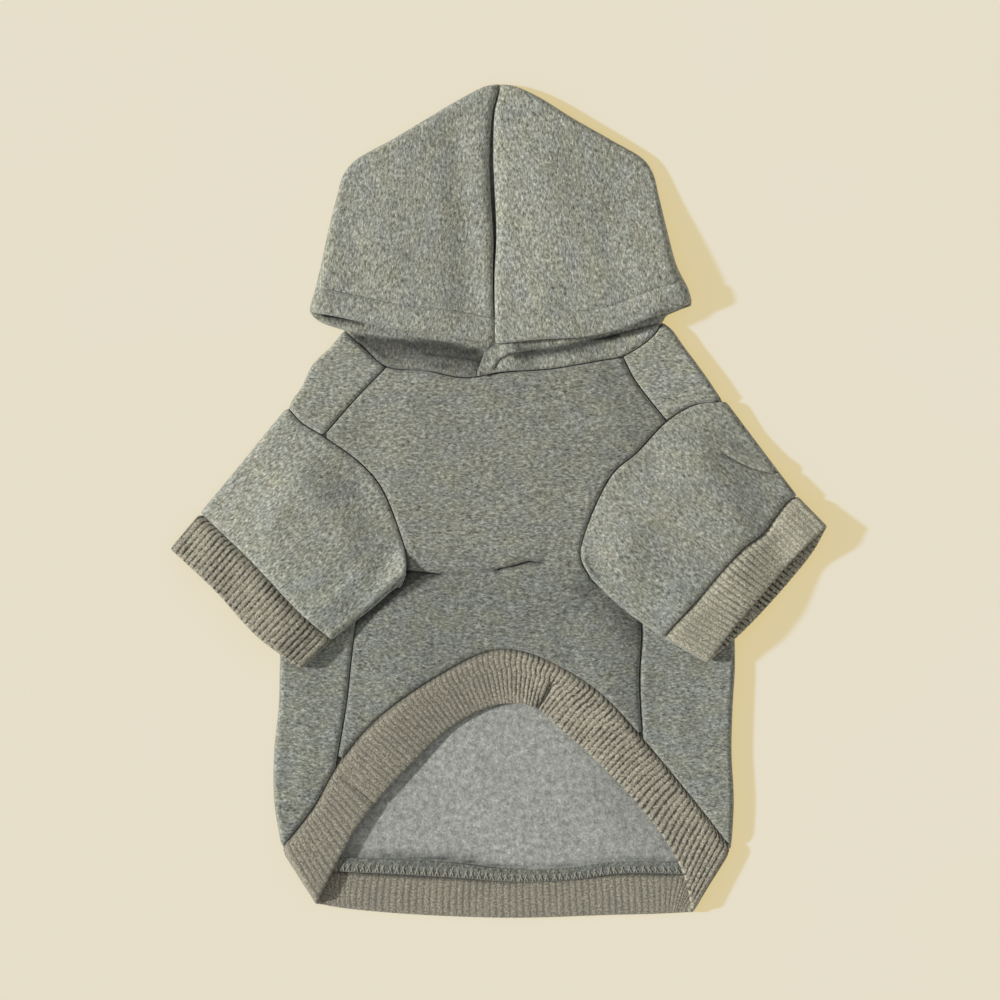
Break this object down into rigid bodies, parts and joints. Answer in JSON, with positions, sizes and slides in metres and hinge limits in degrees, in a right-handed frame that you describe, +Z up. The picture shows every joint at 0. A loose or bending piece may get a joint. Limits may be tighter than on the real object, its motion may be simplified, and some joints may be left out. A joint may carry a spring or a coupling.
{
  "type": "pet hoodie",
  "caption": "Small dog's hooded sweatshirt laid flat, belly side up, with an arched ribbed hem and short ribbed sleeves.",
  "frame": {"origin": "middle of the flat underside, on the surface that the garment lies on", "axes": "+Y from the hem to the hood's point, +X to the right as seen from above with the hood away from the viewer, +Z up"},
  "size_m": [0.2885, 0.3663, 0.018],
  "materials": {
    "fleece": "grey marl sweatshirt fleece, brushed inside",
    "rib_knit": "grey marl rib knit, folded double"
  },
  "bodies": {
    "root": {"back_panel": "fleece", "belly_panel": "fleece", "sleeve_left": "fleece", "sleeve_right": "fleece", "hood_left": "fleece", "hood_right": "fleece", "cuff_left": "rib_knit", "cuff_right": "rib_knit", "hem_band": "rib_knit"}
  },
  "joints": []
}
